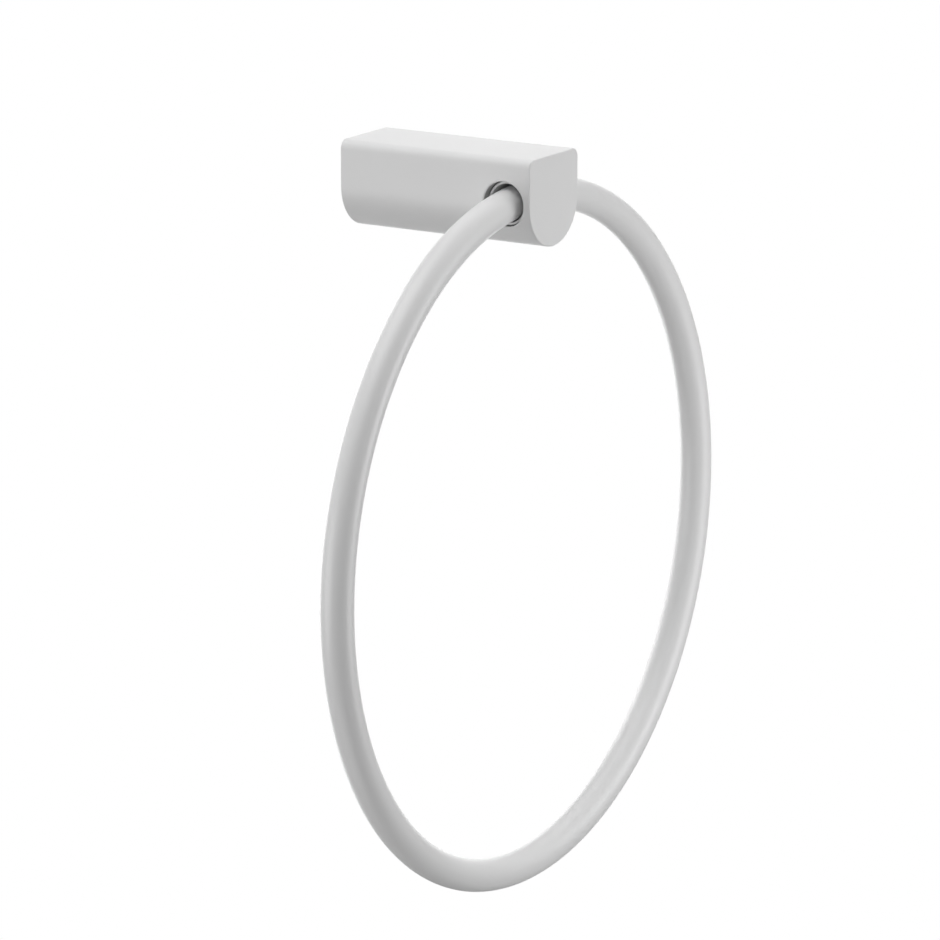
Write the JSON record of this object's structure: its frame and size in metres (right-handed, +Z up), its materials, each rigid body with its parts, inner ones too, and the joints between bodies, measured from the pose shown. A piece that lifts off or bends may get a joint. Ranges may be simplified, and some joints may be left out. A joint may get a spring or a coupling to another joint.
{
  "type": "towel ring",
  "caption": "Towel ring for a wall: a closed round-bar ring hangs and swings in the bushed cross bore of a D-shaped holder block, which slips over a screwed bracket.",
  "frame": {"origin": "on the wall, at the centre of the bracket's two screw holes, level with the axis of the cross bore", "axes": "+Z up; +Y into the wall, so the holder stands out along -Y; X along the cross bore's axis, across the holder"},
  "size_m": [0.22, 0.067, 0.229],
  "materials": {
    "white_block": "matte",
    "white_bar": "matte",
    "bush_plastic": "satin",
    "bracket_steel": "satin",
    "screw_steel": "satin"
  },
  "bodies": {
    "holder": {"holder_block": "white_block", "ring_bush": "bush_plastic", "wall_bracket": "bracket_steel", "grub_screw": "screw_steel"},
    "ring": {"ring": "white_bar"}
  },
  "joints": [
    {"name": "ring_swing", "type": "hinge", "parent": "holder", "child": "ring", "pos_m": [0, -0.05769, 0], "axis": [-1, 0, 0], "range_deg": [-14.5, 194.5]}
  ]
}
